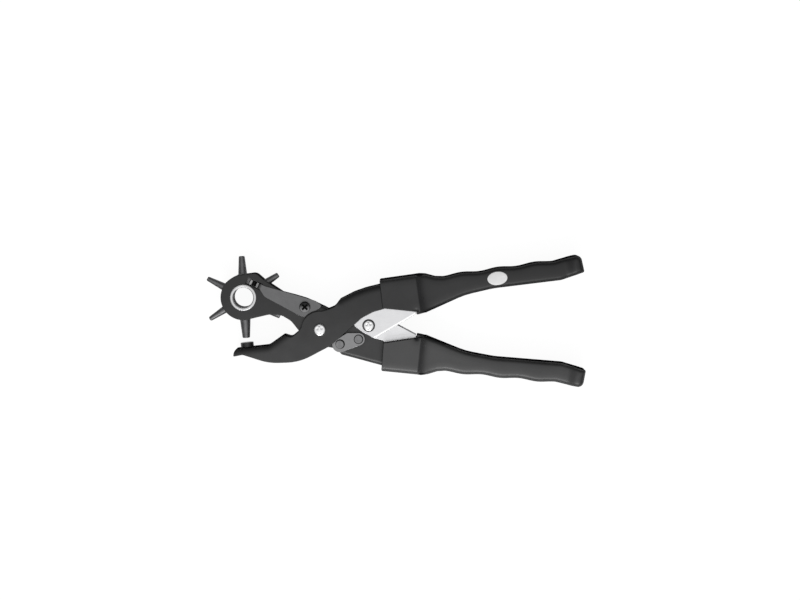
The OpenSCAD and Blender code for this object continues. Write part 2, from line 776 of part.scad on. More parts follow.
// Lower lever: a channel that is cut clear of the tail
tail_sweep = strap(
    tail_pin_seen(-squeeze_open), tail_end_r + sweep_gap,
    tail_pin_seen(squeeze_close), tail_end_r + sweep_gap);
module lower_lever() {
    color(charcoal) placed() difference() {
        on_handle(false) {
            slab_pair(lever_inner, core) polygon(rounded(lever_outline));
            intersection() {
                slab(-core, core) polygon(rounded(lever_outline));
                slab(-core, core) polygon(band(lever_line, lever_sheet));
            }
        }
        slab(-far, far) polygon(rounded(tail_sweep));
        through(handle_pivot, handle_rivet_r + run_fit);
        through(lever_pin, pin_r + seat_fit);
        for (p = leaf_rivets) through(on_lower(p), leaf_rivet_r + seat_fit);
    }
}

// Links and their pins
link_way = angle_of(lever_pin - tail_pin);
link_tail_r = tail_len - hub_r - sweep_gap;
link_taper = asin((link_tail_r - link_end_r) / link_len);
link_outline = concat(
    arc(tail_pin, link_tail_r, link_way + 150, link_way + 270 + link_taper),
    arc(lever_pin, link_end_r, link_way - 90 + link_taper, link_way + 70),
    [concat(tail_pin + [4.5, 7.4], 1.2)]);
module link(from, to) {
    color(grey_steel) placed() difference() {
        slab(from, to) polygon(rounded(link_outline));
        through(tail_pin, pin_r + open_fit);
        through(lever_pin, pin_r + run_fit);
    }
}
module link_front() {
    link(link_inner, link_outer);
}
module link_rear() {
    link(-link_outer, -link_inner);
}
module tail_link_rivet() {
    color(grey_steel) placed() flat_rivet(tail_pin, pin_r, pin_head_z, pin_head_r, pin_head_h);
}
module lever_link_rivet() {
    color(grey_steel) placed() flat_rivet(lever_pin, pin_r, pin_head_z, pin_head_r, pin_head_h);
}

// Grips: moulded sleeves, thick at the mouth, thinner at the handle and flared at the end
module grip_body() {
    half = [
        [before_mouth, mouth_half],
        [crease_x - 1.5, mouth_half],
        [crease_x + 3, grip_w / 2],
        [end_x - 12, grip_w / 2],
        [end_x - 5, flare_w / 2],
        [end_x + 5, flare_w / 2]];
    difference() {
        intersection() {
            slab(-mouth_half, mouth_half) polygon(grip_edge);
            across() polygon(concat(half, flipped(half)));
        }
        nub_sides();
    }
}
// What is cut from both sides of the nub that closes the leaf's slot
module nub_sides() {
    slab_pair(nub_half, far) polygon([
        [before_mouth, slot_low], [slot_end, slot_low], [crease_x + 2, nub_low], [before_mouth, -far]]);
}
module tang_pocket() {
    slab(-far, far) polygon(rounded(concat(
        [[before_mouth, arm_top + grip_fit, 0]],
        tang_outer(grip_fit),
        tang_inner(grip_fit),
        [[before_mouth, arm_low - grip_fit, 0]])));
}
module leaf_slot(half) {
    slab(-half, half) polygon([
        [before_mouth, -far], [slot_end, -far],
        [slot_end, arm_low + leaf_lap + grip_fit],
        [before_mouth, arm_low + leaf_lap + grip_fit]]);
}
module upper_grip() {
    color(moulded_black) placed() difference() {
        on_handle(true) difference() {
            grip_body();
            leaf_slot(frame_outer + grip_fit);
        }
        intersection() {
            on_handle(true) tang_pocket();
            channel_hull(grip_fit);
        }
    }
}
module lower_grip() {
    color(moulded_black) placed() on_handle(false) difference() {
        grip_body();
        leaf_slot(leaf_outer + grip_fit);
        intersection() {
            tang_pocket();
            slab(-core - grip_fit, core + grip_fit) square(2 * far, center = true);
        }
    }
}

// Return spring: a torsion spring round the handle pivot, with a leg on each handle
leg_up = upper_angle + 72;
leg_down = lower_angle - 72;
coil_from = leg_down + 90;
coil_to = leg_up - 90 + 3 * 360;
coil_h = coil_pitch * (coil_to - coil_from) / 360;
leg_len = 21;
coil_steps = 48;
function coil_point(a) =
    concat(handle_pivot + coil_r * dir(a), coil_pitch * (a - coil_from) / 360 - coil_h / 2);
function leg_point(a, along, d) = coil_point(a) + concat(d * dir(along), 0);
spring_path = concat(
    [leg_point(coil_from, leg_down, leg_len), leg_point(coil_from, leg_down, leg_len / 2)],
    [for (i = [0:coil_steps]) coil_point(coil_from + (coil_to - coil_from) * i / coil_steps)],
    [leg_point(coil_to, leg_up, leg_len / 2), leg_point(coil_to, leg_up, leg_len)]);
function path_way(path, i) = unit(path[min(i + 1, len(path) - 1)] - path[max(i - 1, 0)]);
function ring(path, i, r, sides) =
    let (way = path_way(path, i), u = unit(cross(way, [0, 0, 1])), v = cross(u, way))
    [for (s = [0:sides - 1]) path[i] + r * (cos(360 * s / sides) * u + sin(360 * s / sides) * v)];
module wire(path, r, sides) {
    n = len(path);
    points = [for (i = [0:n - 1]) each ring(path, i, r, sides)];
    sides_of = [for (i = [0:n - 2], s = [0:sides - 1])
        let (a = i * sides + s, b = i * sides + (s + 1) % sides)
        each [[a, b, a + sides], [b, b + sides, a + sides]]];
    start = [for (s = [1:sides - 2]) [0, s + 1, s]];
    last = (n - 1) * sides;
    finish = [for (s = [1:sides - 2]) [last, last + s, last + s + 1]];
    polyhedron(points, concat(sides_of, start, finish));
}
// Least distance between points of the wire that lie half a turn or more apart
half_turn = round(coil_steps / 2 * 360 / (coil_to - coil_from));
spring_gap = min([for (i = [0:len(spring_path) - 1 - half_turn])
    for (j = [i + half_turn:len(spring_path) - 1]) norm(spring_path[i] - spring_path[j])]) - wire_d;
module return_spring() {
    echo(least_gap_in_spring = spring_gap);
    color(bright_steel) placed() wire(spring_path, wire_d / 2, 8);
}

anvil_frame();
anvil();
upper_leaf_front();
upper_leaf_rear();
upper_leaf_rivets();
upper_grip();
main_pivot_rivet();
handle_pivot_rivet();
handle_pivot_washers();
turret_jaw();
jaw_tail();
tail_dowel();
turret_eyelet();
index_spring();
spring_screw();
spring_screw_spacer();
spring_screw_nut();
tail_link_rivet();
turret_wheel();
punch_tube_1();
punch_tube_2();
punch_tube_3();
punch_tube_4();
punch_tube_5();
punch_tube_6();
lower_lever();
lower_leaf_front();
lower_leaf_rear();
lower_leaf_rivets();
lower_grip();
lever_link_rivet();
link_front();
link_rear();
return_spring();
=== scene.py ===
# %% [markdown]
# # A rotary hole punch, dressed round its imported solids
#
# The tool is a pair of leather pliers with a compound lever. A folded sheet jaw carries a turret
# of six conical tubes, a second folded jaw carries a small anvil, and two black moulded grips
# work them through a pair of links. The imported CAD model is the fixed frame: a finished piece is
# made where its CAD node already is, in metres, and rides on that node's body.

import json
import math

import bmesh
import bpy
import numpy as np
from mathutils import Matrix, Vector

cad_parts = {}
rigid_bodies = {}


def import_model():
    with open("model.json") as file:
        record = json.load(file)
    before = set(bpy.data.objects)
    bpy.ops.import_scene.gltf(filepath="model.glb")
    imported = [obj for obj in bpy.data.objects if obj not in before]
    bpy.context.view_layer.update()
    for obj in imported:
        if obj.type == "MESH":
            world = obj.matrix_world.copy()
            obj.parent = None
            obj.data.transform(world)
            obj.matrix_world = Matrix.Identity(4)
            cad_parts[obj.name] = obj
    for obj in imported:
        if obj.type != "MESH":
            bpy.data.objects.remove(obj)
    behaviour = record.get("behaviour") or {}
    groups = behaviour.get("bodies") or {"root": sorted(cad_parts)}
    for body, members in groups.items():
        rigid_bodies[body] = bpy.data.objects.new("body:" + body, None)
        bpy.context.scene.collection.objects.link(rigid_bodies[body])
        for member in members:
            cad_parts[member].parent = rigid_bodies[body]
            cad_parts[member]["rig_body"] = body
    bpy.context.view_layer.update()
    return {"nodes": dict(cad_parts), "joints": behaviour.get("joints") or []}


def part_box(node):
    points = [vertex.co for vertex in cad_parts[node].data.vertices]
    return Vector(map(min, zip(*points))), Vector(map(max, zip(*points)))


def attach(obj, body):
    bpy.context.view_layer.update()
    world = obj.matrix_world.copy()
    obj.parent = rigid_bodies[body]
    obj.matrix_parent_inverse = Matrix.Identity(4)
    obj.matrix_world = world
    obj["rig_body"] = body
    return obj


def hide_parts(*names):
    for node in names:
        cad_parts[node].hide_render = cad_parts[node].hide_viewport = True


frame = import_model()

MM = 0.001
joint_at = {joint["name"]: Vector(joint["pos_m"]) for joint in frame["joints"]}
MAIN_PIVOT = joint_at["jaw_swing"]
HANDLE_PIVOT = joint_at["handle_squeeze"]
TURRET = joint_at["turret_turn"]
MID_Z = MAIN_PIVOT.z

# %% [markdown]
# ## Camera
#
# The tool lies flat and is seen from straight above, a little from the side of the upper grip,
# which is why the upper edges of the folds show. A camera 1.3 m away with a long lens keeps the
# two jaws in almost the same scale, and only its tilt needs setting.

# %% Set the camera over the tool
CAMERA_TILT = math.radians(3.55)
CAMERA_FAR = 1.3
SENSOR_WIDE = 36
LENS = 88.6
LOOK_AT = MAIN_PIVOT + Vector((52.68, 19.08, 0)) * MM

camera_data = bpy.data.cameras.new("camera")
camera_data.sensor_fit = "HORIZONTAL"
camera_data.sensor_width = SENSOR_WIDE
camera_data.lens = LENS
camera = bpy.data.objects.new("camera", camera_data)
camera.location = LOOK_AT + CAMERA_FAR * Vector((0, math.sin(CAMERA_TILT), math.cos(CAMERA_TILT)))
camera.rotation_euler = (-CAMERA_TILT, 0, 0)
bpy.context.scene.collection.objects.link(camera)
bpy.context.scene.camera = camera
print("camera at", [round(x, 3) for x in camera.location])

# %% [markdown]
# ## Writing shaders as sums
#
# A node tree is easier to read as arithmetic. This small class holds one socket, and adding or
# multiplying it puts a Math node in the tree. Every other node comes from one method that takes
# the node's settings first and then the values or links of its sockets.

# %% Wrap a socket so that Python can reckon with it
class Shade:
    """An output socket of a node tree, or the bare tree to start from."""

    def __init__(self, tree, socket=None):
        self.tree = tree
        self.socket = socket

    def node(self, kind, settings=None, inputs=None, out=0):
        made = self.tree.nodes.new(kind)
        for key, value in (settings or {}).items():
            setattr(made, key, value)
        for key, value in (inputs or {}).items():
            if isinstance(value, Shade):
                self.tree.links.new(value.socket, made.inputs[key])
            else:
                made.inputs[key].default_value = value
        return Shade(self.tree, made.outputs[out])

    def sum(self, operation, first, second):
        return self.node("ShaderNodeMath", {"operation": operation}, {0: first, 1: second})

    def __add__(self, other):
        return self.sum("ADD", self, other)

    def __radd__(self, other):
        return self.sum("ADD", other, self)

    def __sub__(self, other):
        return self.sum("SUBTRACT", self, other)

    def __rsub__(self, other):
        return self.sum("SUBTRACT", other, self)

    def __mul__(self, other):
        return self.sum("MULTIPLY", self, other)

    def __rmul__(self, other):
        return self.sum("MULTIPLY", other, self)

    def __truediv__(self, other):
        return self.sum("DIVIDE", self, other)

    def __pow__(self, other):
        return self.sum("POWER", self, other)


def most(first, second):
    return first.sum("MAXIMUM", first, second)


def ramp(value, low, high):
    """0 below low, 1 above high and a soft step between."""
    return value.node(
        "ShaderNodeMapRange",
        {"interpolation_type": "SMOOTHSTEP"},
        {"Value": value, "From Min": low, "From Max": high, "To Min": 0.0, "To Max": 1.0},
    )


print("shader helpers ready")

# %% [markdown]
# ## Studio
#
# The photograph is a packshot on pure white. Flat faces are lit by a soft box overhead and faces
# that lean away turn dark. A lamp over the tool could do that, but a world that glows round one
# direction, a little to the lower handle's side of straight up, and falls off towards the horizon
# lights all of it evenly. The camera itself sees plain white. Reflections see the glowing world
# instead, which keeps the folds dark.

# %% Light the world
scene = bpy.context.scene
scene.view_settings.view_transform = "Standard"

OVERHEAD = 1.25
HORIZON = 0.07
FALL_OFF = 2.8
BOX_LEAN = math.radians(11)
WHITE = (1, 1, 1, 1)

world = bpy.data.worlds.new("studio")
world.use_nodes = True
scene.world = world
world.node_tree.nodes.clear()
sky = Shade(world.node_tree)
way = sky.node("ShaderNodeTexCoord", out="Generated")
way_y = sky.node("ShaderNodeSeparateXYZ", None, {0: way}, out="Y")
way_z = sky.node("ShaderNodeSeparateXYZ", None, {0: way}, out="Z")
facing = way_z * math.cos(BOX_LEAN) - way_y * math.sin(BOX_LEAN)
level = HORIZON + OVERHEAD * most(facing, 0.0) ** FALL_OFF
lit = sky.node("ShaderNodeBackground", None, {"Color": WHITE, "Strength": level})
seen = sky.node("ShaderNodeBackground", None, {"Color": WHITE, "Strength": 1.0})
to_camera = sky.node("ShaderNodeLightPath", out="Is Camera Ray")
backdrop = sky.node("ShaderNodeMixShader", None, {0: to_camera, 1: lit, 2: seen})
sky_out = world.node_tree.nodes.new("ShaderNodeOutputWorld")
world.node_tree.links.new(backdrop.socket, sky_out.inputs["Surface"])
print("world lit")

# %% [markdown]
# The floor is one large square just under the tool. A glow makes it white to the camera and to
# reflections, and the dim diffuse part under the glow keeps the tool's shadow.

# %% Lay the floor
FLOOR_GREY = (0.13, 0.13, 0.13, 1)
FLOOR_GLOW = 0.93
FLOOR_HALF = 1.6
FLOOR_GAP = 0.2

floor_paint = bpy.data.materials.new("floor_white")
floor_paint.use_nodes = True
floor_paint.node_tree.nodes.clear()
paint = Shade(floor_paint.node_tree)
rays = [paint.node("ShaderNodeLightPath", out=kind)
        for kind in ("Is Camera Ray", "Is Glossy Ray", "Is Transmission Ray")]
plain = paint.node("ShaderNodeBsdfDiffuse", None, {"Color": FLOOR_GREY})
glow = paint.node("ShaderNodeEmission", None, {"Color": WHITE, "Strength": FLOOR_GLOW})
white = paint.node("ShaderNodeAddShader", None, {0: plain, 1: glow})
shown = most(most(rays[0], rays[1]), rays[2])
floor_look = paint.node("ShaderNodeMixShader", None, {0: shown, 1: plain, 2: white})
floor_out = floor_paint.node_tree.nodes.new("ShaderNodeOutputMaterial")
floor_paint.node_tree.links.new(floor_look.socket, floor_out.inputs["Surface"])

bm = bmesh.new()
bmesh.ops.create_grid(bm, x_segments=1, y_segments=1, size=FLOOR_HALF)
bmesh.ops.translate(bm, verts=bm.verts, vec=(0, 0, -FLOOR_GAP * MM))
floor_mesh = bpy.data.meshes.new("floor")
bm.to_mesh(floor_mesh)
bm.free()
floor_mesh.materials.append(floor_paint)
floor = bpy.data.objects.new("floor", floor_mesh)
scene.collection.objects.link(floor)
print("floor laid")

# %% [markdown]
# One wide lamp from the lower handle's side lights the edges that face it.

# %% Hang the key lamp
KEY_WIDE = 0.7
KEY_DEEP = 0.35
KEY_WATTS = 5.0
KEY_AT = (-0.05, -0.75, 0.7)
KEY_TILT = math.radians(47)

key_data = bpy.data.lights.new("key", "AREA")
key_data.shape = "RECTANGLE"
key_data.size = KEY_WIDE
key_data.size_y = KEY_DEEP
key_data.energy = KEY_WATTS
key = bpy.data.objects.new("key", key_data)
key.location = KEY_AT
key.rotation_euler = (KEY_TILT, 0, 0)
scene.collection.objects.link(key)
print("key lamp at", KEY_AT)

# %% [markdown]
# ## Finishes
#
# Each finish starts from a Principled shader with its constant sockets set, and a recipe links
# what changes over the surface. All recipes read Object coordinates, which are metres here, so a
# noise scale of 1000 has features of about a millimetre.

# %% Helpers for finishes and their recipes
def new_finish(name, fixed, recipe):
    finish = bpy.data.materials.new(name)
    finish.use_nodes = True
    shader = finish.node_tree.nodes["Principled BSDF"]
    for socket, value in fixed.items():
        shader.inputs[socket].default_value = value
    for socket, value in recipe(Shade(finish.node_tree)).items():
        finish.node_tree.links.new(value.socket, shader.inputs[socket])
    print("finish", name, len(finish.node_tree.nodes), "nodes")
    return finish


def place(shade, scale=(1, 1, 1), turn=0.0, origin=(0, 0, 0)):
    """Object coordinates, moved to an origin, turned about Z and stretched."""
    spot = shade.node("ShaderNodeTexCoord", out="Object")
    return shade.node(
        "ShaderNodeMapping",
        {"vector_type": "TEXTURE"},
        {"Vector": spot, "Location": tuple(origin), "Rotation": (0, 0, turn), "Scale": scale},
    )


def reach_along(shade, axis, origin, turn=0.0):
    """Distance from an origin along an axis that is turned about Z, in millimetres."""
    spot = place(shade, turn=turn, origin=origin)
    return shade.node("ShaderNodeSeparateXYZ", None, {0: spot}, out=axis) / MM


def unsigned(value):
    """The value without its sign."""
    return value.node("ShaderNodeMath", {"operation": "ABSOLUTE"}, {0: value})


def noise(shade, spot, scale, detail=3.0, roughness=0.55):
    return shade.node(
        "ShaderNodeTexNoise",
        None,
        {"Vector": spot, "Scale": scale, "Detail": detail, "Roughness": roughness},
    )


def mixed(factor, first, second):
    """A colour between two colours that may vary themselves."""
    return factor.node(
        "ShaderNodeMix",
        {"data_type": "RGBA"},
        {0: factor, 6: first, 7: second},
        out=2,
    )


def blend(factor, first, second):
    """A colour between two greys."""
    return mixed(factor, (*first, 1), (*second, 1))


def bump(height, strength, depth):
    return height.node(
        "ShaderNodeBump",
        None,
        {"Height": height, "Strength": strength, "Distance": depth},
    )


print("finish helpers ready")

# %% [markdown]
# The jaws and the lever wear a baked charcoal coat over pressed steel. It is almost black by
# itself and takes its grey from the soft box, so a low base colour with a satin sheen gives light
# flats and dark folds. Fine orange peel and a little dust keep it from looking like a flat fill.
# A clear top layer gets heavier towards the lower handle, where the tool looks paler: a painted
# sheen for light that falls from that side. The tone darkens towards the head, a painted shade.
# The upright walls are dark in the photograph, so they wear the same coat with its reflection
# switched off. A real coat shines there too, so in a low view these are darker.

# %% Charcoal coat
SHEEN = {"Specular IOR Level": 0.43, "Coat Roughness": 0.4}
NO_SHEEN = {"Specular IOR Level": 0.0, "Coat IOR": 1.0}
HEAD_SHADE_FADES = (4.0, 30.0)
PAINTED_SHEEN = 0.25
PAINTED_SHEEN_FADES = (-22.0, 12.0)


def coat_recipe(shade):
    spot = place(shade)
    cloud = noise(shade, spot, 110.0, 4.0)
    peel = noise(shade, spot, 1500.0, 2.0)
    dust = ramp(noise(shade, spot, 2600.0, 1.0), 0.70, 0.80)
    rise = reach_along(shade, "Y", MAIN_PIVOT)
    # Painted shade: the tone darkens towards the head.
    tone = (cloud * 0.8 + dust * 0.35) * (1.0 - 0.75 * ramp(rise, *HEAD_SHADE_FADES))
    return {
        "Base Color": blend(tone, (0.004, 0.004, 0.0045), (0.036, 0.036, 0.037)),
        "Roughness": 0.34 + 0.10 * cloud + 0.12 * dust,
        # Painted sheen: the clear layer is heavier towards the lower handle.
        "Coat Weight": PAINTED_SHEEN - PAINTED_SHEEN * ramp(rise, *PAINTED_SHEEN_FADES),
        "Normal": bump(peel + 0.25 * dust, 0.10, 0.0002),
    }


charcoal_coat = new_finish("charcoal_coat", SHEEN, coat_recipe)
charcoal_edge = new_finish("charcoal_edge", NO_SHEEN, coat_recipe)

# %% [markdown]
# The grips are injection moulded in black plastic with a fine spark-eroded grain, a bit rougher
# than the coat. The grain is a fine bump, and a slow cloud in the roughness gives handled patches.
# The lower grip has more of the clear layer, a painted sheen, and the upper one is darker at its
# end, a painted shade; both stand for the way the light falls. Their narrow side walls have no
# sheen either.

# %% Moulded grip plastic
BETWEEN_GRIPS = (-4.0, 8.0)
TOWARDS_END = (70.0, 170.0)


def grip_recipe(shade):
    spot = place(shade)
    grain = noise(shade, spot, 3800.0, 2.0, 0.6)
    cloud = noise(shade, spot, 60.0, 4.0)
    upper = ramp(reach_along(shade, "Y", MAIN_PIVOT), *BETWEEN_GRIPS)
    end = ramp(reach_along(shade, "X", MAIN_PIVOT), *TOWARDS_END)
    # Painted shade: the upper grip darkens towards its end.
    tone = cloud * (1.0 - 0.8 * (upper * end))
    return {
        "Base Color": blend(tone, (0.004, 0.004, 0.0045), (0.028, 0.028, 0.029)),
        "Roughness": 0.36 + 0.10 * cloud + 0.08 * grain,
        # Painted sheen: the clear layer on the lower grip, thinning towards its end.
        "Coat Weight": (1.0 - upper) * (0.72 - 0.25 * end),
        "Normal": bump(grain, 0.18, 0.00015),
    }


grip_black = new_finish("grip_black", SHEEN, grip_recipe)
grip_edge_black = new_finish("grip_edge_black", NO_SHEEN, grip_recipe)

# %% [markdown]
# ## Steels
#
# The steels differ in brightness and in how they were worked. Plated rivets and the eyelet are
# nearly mirrors. Some finishes are darker round a ring or down a bore, by a mask of the distance
# from an axis or from the mid-plane; on the screw and the link pins part of it is painted shade.
# A mask of that distance is steadier than a painted texture, because it comes from the tool's own
# measures.

# %% Bright plate
METAL = {"Metallic": 1.0}
EYELET_SEAT = 7.2


def reach_from(shade, centre):
    """Distance from an upright axis, in millimetres."""
    arm = shade.node(
        "ShaderNodeVectorMath", {"operation": "MULTIPLY"},
        {0: place(shade, origin=centre), 1: (1 / MM, 1 / MM, 0)})
    return shade.node("ShaderNodeVectorMath", {"operation": "LENGTH"}, {0: arm}, out="Value")


def off_middle(shade):
    """Distance from the tool's mid-plane, in millimetres."""
    return unsigned(reach_along(shade, "Z", MAIN_PIVOT))


def plate_surface(shade):
    """A slow cloud, and the ripple that hammering left."""
    spot = place(shade)
    ripple = noise(shade, spot, 900.0, 2.0)
    return noise(shade, spot, 420.0, 4.0), bump(ripple, 0.06, 0.0003)


def plated_recipe(shade):
    cloud, dents = plate_surface(shade)
    return {
        "Base Color": blend(cloud, (0.62, 0.62, 0.63), (0.80, 0.80, 0.80)),
        "Roughness": 0.16 + 0.14 * cloud,
        "Normal": dents,
    }


def bored_recipe(shade):
    """Plated steel that is dark and rough down its bore."""
    cloud, dents = plate_surface(shade)
    lip = ramp(off_middle(shade), EYELET_SEAT - 0.8, EYELET_SEAT)
    return {
        "Base Color": blend(lip, (0.02, 0.02, 0.021), (0.56, 0.56, 0.565)),
        "Metallic": lip,
        "Roughness": 0.32 + 0.14 * cloud + 0.4 * (1.0 - lip),
        "Normal": dents,
    }


bright_plate = new_finish("bright_plate", METAL, plated_recipe)
bored_plate = new_finish("bored_plate", METAL, bored_recipe)

# %% [markdown]
# Leaves, links and the index spring are rolled sheet, with rolling lines along the piece. The lines
# are a noise stretched along one direction. The near leaves are bright and the links are plain
# grey. The far pair is painted pale and matt, painted light that lifts them out of the near
# leaves' shade. The near upper leaf has a painted highlight along its lower edge.

# %% Rolled sheet
HANDLE_TURN = {"upper_grip": math.radians(8), "lower_grip": math.radians(-5.7)}
UPPER_TURN = HANDLE_TURN["upper_grip"]
LEAF_CORNER = HANDLE_PIVOT + Matrix.Rotation(UPPER_TURN, 3, "Z") @ Vector((3.6, -8.4, 0)) * MM
LEAF_EDGE_TURN = UPPER_TURN + math.atan2(11.6, 28.1)
LEAF_STRETCH = 14.0
SMALL_STRETCH = 8.0
DULL_RIM = {"Metallic": 1.0, "Specular Tint": (0.25, 0.25, 0.25, 1)}


def sheet_recipe(dark, light, rough, turn, stretch):
    """Rolled sheet: fine lines along one direction over a slow cloud."""

    def recipe(shade):
        lines = noise(shade, place(shade, (stretch, 1, 1), turn), 1800.0, 3.0)
        cloud = noise(shade, place(shade), 190.0, 5.0, 0.65)
        tone = lines * 0.45 + cloud * 0.55
        return {
            "Base Color": blend(tone, dark, light),
            "Roughness": rough + 0.16 * (lines * 0.5 + cloud * 0.5),
            "Normal": bump(lines, 0.05, 0.0001),
        }

    return recipe


upper_rolled = sheet_recipe(
    (0.50, 0.50, 0.51), (0.72, 0.72, 0.73), 0.22, UPPER_TURN, LEAF_STRETCH)
lower_rolled = sheet_recipe(
    (0.52, 0.52, 0.53), (0.82, 0.82, 0.83), 0.30, HANDLE_TURN["lower_grip"], LEAF_STRETCH)
# Painted light: the far leaves lie in the near leaves' shade, so they are made pale and matt.
far_painted_pale = sheet_recipe((0.74, 0.74, 0.75), (0.90, 0.90, 0.91), 0.40, 0.0, LEAF_STRETCH)
grey_rolled = sheet_recipe(
    (0.17, 0.17, 0.173), (0.29, 0.29, 0.294), 0.32, math.radians(15), SMALL_STRETCH)
spring_rolled = sheet_recipe(
    (0.10, 0.10, 0.102), (0.18, 0.18, 0.183), 0.34, math.radians(157), SMALL_STRETCH)


def upper_leaf_highlight_recipe(shade):
    """Bright sheet with a painted highlight along the straight edge that leaves its corner."""
    sheet = upper_rolled(shade)
    # Painted highlight: a near-white line along the lower straight edge.
    line = 1.0 - ramp(reach_along(shade, "Y", LEAF_CORNER, LEAF_EDGE_TURN), 0.7, 1.2)
    return {**sheet, "Base Color": mixed(line, sheet["Base Color"], (0.95, 0.95, 0.95, 1))}


upper_sheet = new_finish("upper_leaf_sheet", METAL, upper_leaf_highlight_recipe)
# Painted light: the far leaves' pale, matt sheet.
far_sheet = new_finish("far_leaf_sheet", {"Metallic": 0.2}, far_painted_pale)
lower_sheet = new_finish("lower_leaf_sheet", METAL, lower_rolled)
grey_sheet = new_finish("grey_sheet", DULL_RIM, grey_rolled)

# %% [markdown]
# The spring's tongue dips into a notch of the turret wheel. Both slopes of the dip are painted pale
# as a highlight, and the bottom of the dip, the tip and the root are painted dark as shade. The
# screw's blackened head is painted grey towards its lower side as light, its cross recess is
# painted black as shade, and the dark seam round the head is widened on its upper side by painted
# shade.

# %% Index spring and its screw
INDEX_SCREW = MAIN_PIVOT + Vector((-9.8, 15, 0)) * MM
TONGUE_TURN = math.radians(155.5)
DIP_AT = 36.6
# Bands along the tongue from the dip's middle, in millimetres, for its painted shade and highlight.
DIP_BOTTOM = (1.1, 1.5)
SLOPE_STARTS = (1.4, 1.8)
SLOPE_ENDS = (2.7, 3.1)
ROOT_STARTS = (2.9, 3.3)
ROOT_ENDS = (3.8, 5.8)
SCREW_TOP = 9.3
SCREW_SEAM = 2.9
# Shift of the seam's circle, so that painted shade widens the seam on the head's upper side.
SCREW_SHADE_SHIFT = Vector((0, -0.3, 0)) * MM


def tongue_recipe(shade):
    """Spring sheet whose tongue has a painted highlight on both slopes of its dip and painted shade
    round them.
    """
    sheet = spring_rolled(shade)
    past = reach_along(shade, "X", INDEX_SCREW, TONGUE_TURN) - DIP_AT
    before = 0.0 - past
    off = unsigned(past)
    # Painted highlight on both slopes of the dip.
    slope = ramp(off, *SLOPE_STARTS) * (1.0 - ramp(off, *SLOPE_ENDS))
    # Painted shade at the bottom of the dip and beyond the slopes to the tip.
    dip_shade = most(1.0 - ramp(off, *DIP_BOTTOM), ramp(past, *SLOPE_ENDS))
    # Painted shade at the root of the tongue.
    root = ramp(before, *ROOT_STARTS) * (1.0 - ramp(before, *ROOT_ENDS)) * 0.7
    painted_light = mixed(slope, sheet["Base Color"], (0.46, 0.46, 0.46, 1))
    return {
        **sheet,
        "Base Color": mixed(most(dip_shade, root), painted_light, (0.01, 0.01, 0.01, 1)),
        "Metallic": 1.0 - 0.8 * slope,
    }


def screw_recipe(shade):
    """Blackened steel, painted grey towards the head's lower side as light, black in its recess as
    shade, and dark in a seam that painted shade widens.
    """
    cloud = noise(shade, place(shade), 600.0, 4.0)
    # Painted shade: black below the top of the head, in the cross recess.
    proud = ramp(off_middle(shade), SCREW_TOP - 0.35, SCREW_TOP - 0.15)
    # Painted light: grey towards the head's lower side.
    painted_light = 1.0 - ramp(reach_along(shade, "Y", INDEX_SCREW) + cloud, -1.6, 2.2)
    face = blend(painted_light, (0.022, 0.022, 0.023), (0.20, 0.20, 0.203))
    # A dark seam round the head, widened on its upper side by painted shade.
    seam_and_shade = ramp(reach_from(shade, INDEX_SCREW + SCREW_SHADE_SHIFT), SCREW_SEAM, SCREW_SEAM + 0.5)
    return {
        "Base Color": mixed(proud * (1.0 - seam_and_shade), (0.004, 0.004, 0.004, 1), face),
        "Roughness": 0.30 + 0.14 * cloud,
    }


spring_sheet = new_finish("spring_sheet", DULL_RIM, tongue_recipe)
screw_steel = new_finish("screw_steel", DULL_RIM, screw_recipe)

# %% [markdown]
# The links turn on two grey pins. Each head has a dark seam round it, wider on the side that the
# light leaves dark, so the seam's circle is a little off the pin's own axis.

# %% Pins of the links
PIN_SEAM = 2.4
TAIL_PIN = MAIN_PIVOT + Vector((13.3, -9.6, 0)) * MM
TAIL_PIN_LEAN = Vector((-0.3, -0.25, 0)) * MM
LEVER_PIN = joint_at["link_swing"]
LEVER_PIN_LEAN = Vector((-0.08, -0.05, 0)) * MM


def pin_recipe(seam_centre):
    def recipe(shade):
        cloud = noise(shade, place(shade), 500.0, 4.0)
        seam_and_shade = ramp(reach_from(shade, seam_centre), PIN_SEAM, PIN_SEAM + 0.35)
        face = blend(cloud, (0.12, 0.12, 0.123), (0.24, 0.24, 0.244))
        return {
            "Base Color": mixed(seam_and_shade, face, (0.012, 0.012, 0.012, 1)),
            "Roughness": 0.28 + 0.16 * cloud,
        }

    return recipe


tail_pin_steel = new_finish("tail_pin_steel", DULL_RIM, pin_recipe(TAIL_PIN + TAIL_PIN_LEAN))
lever_pin_steel = new_finish("lever_pin_steel", DULL_RIM, pin_recipe(LEVER_PIN + LEVER_PIN_LEAN))

# %% [markdown]
# The tubes and their wheel are turned and blackened. Lathe lines ring each tube, so they follow the
# distance from the turret's axis. The anvil and the washers are plain black oxide.

# %% Turned and blackened steel
def turned_recipe(shade):
    spot = place(shade, origin=TURRET)
    reach = shade.node("ShaderNodeVectorMath", {"operation": "LENGTH"}, {0: spot}, out="Value")
    swing = reach * 16000.0 + noise(shade, spot, 700.0, 2.0) * 5.0
    rings = shade.node("ShaderNodeMath", {"operation": "SINE"}, {0: swing})
    cloud = noise(shade, spot, 300.0, 4.0)
    return {
        "Base Color": blend(cloud, (0.105, 0.105, 0.107), (0.19, 0.19, 0.193)),
        "Roughness": 0.40 + 0.12 * cloud + 0.04 * rings,
        "Normal": bump(rings, 0.07, 0.00004),
    }


def oxide_recipe(shade):
    spot = place(shade)
    cloud = noise(shade, spot, 600.0, 4.0)
    return {
        "Base Color": blend(cloud, (0.010, 0.010, 0.011), (0.030, 0.030, 0.031)),
        "Roughness": 0.30 + 0.14 * cloud,
        "Normal": bump(noise(shade, spot, 3000.0), 0.06, 0.0001),
    }


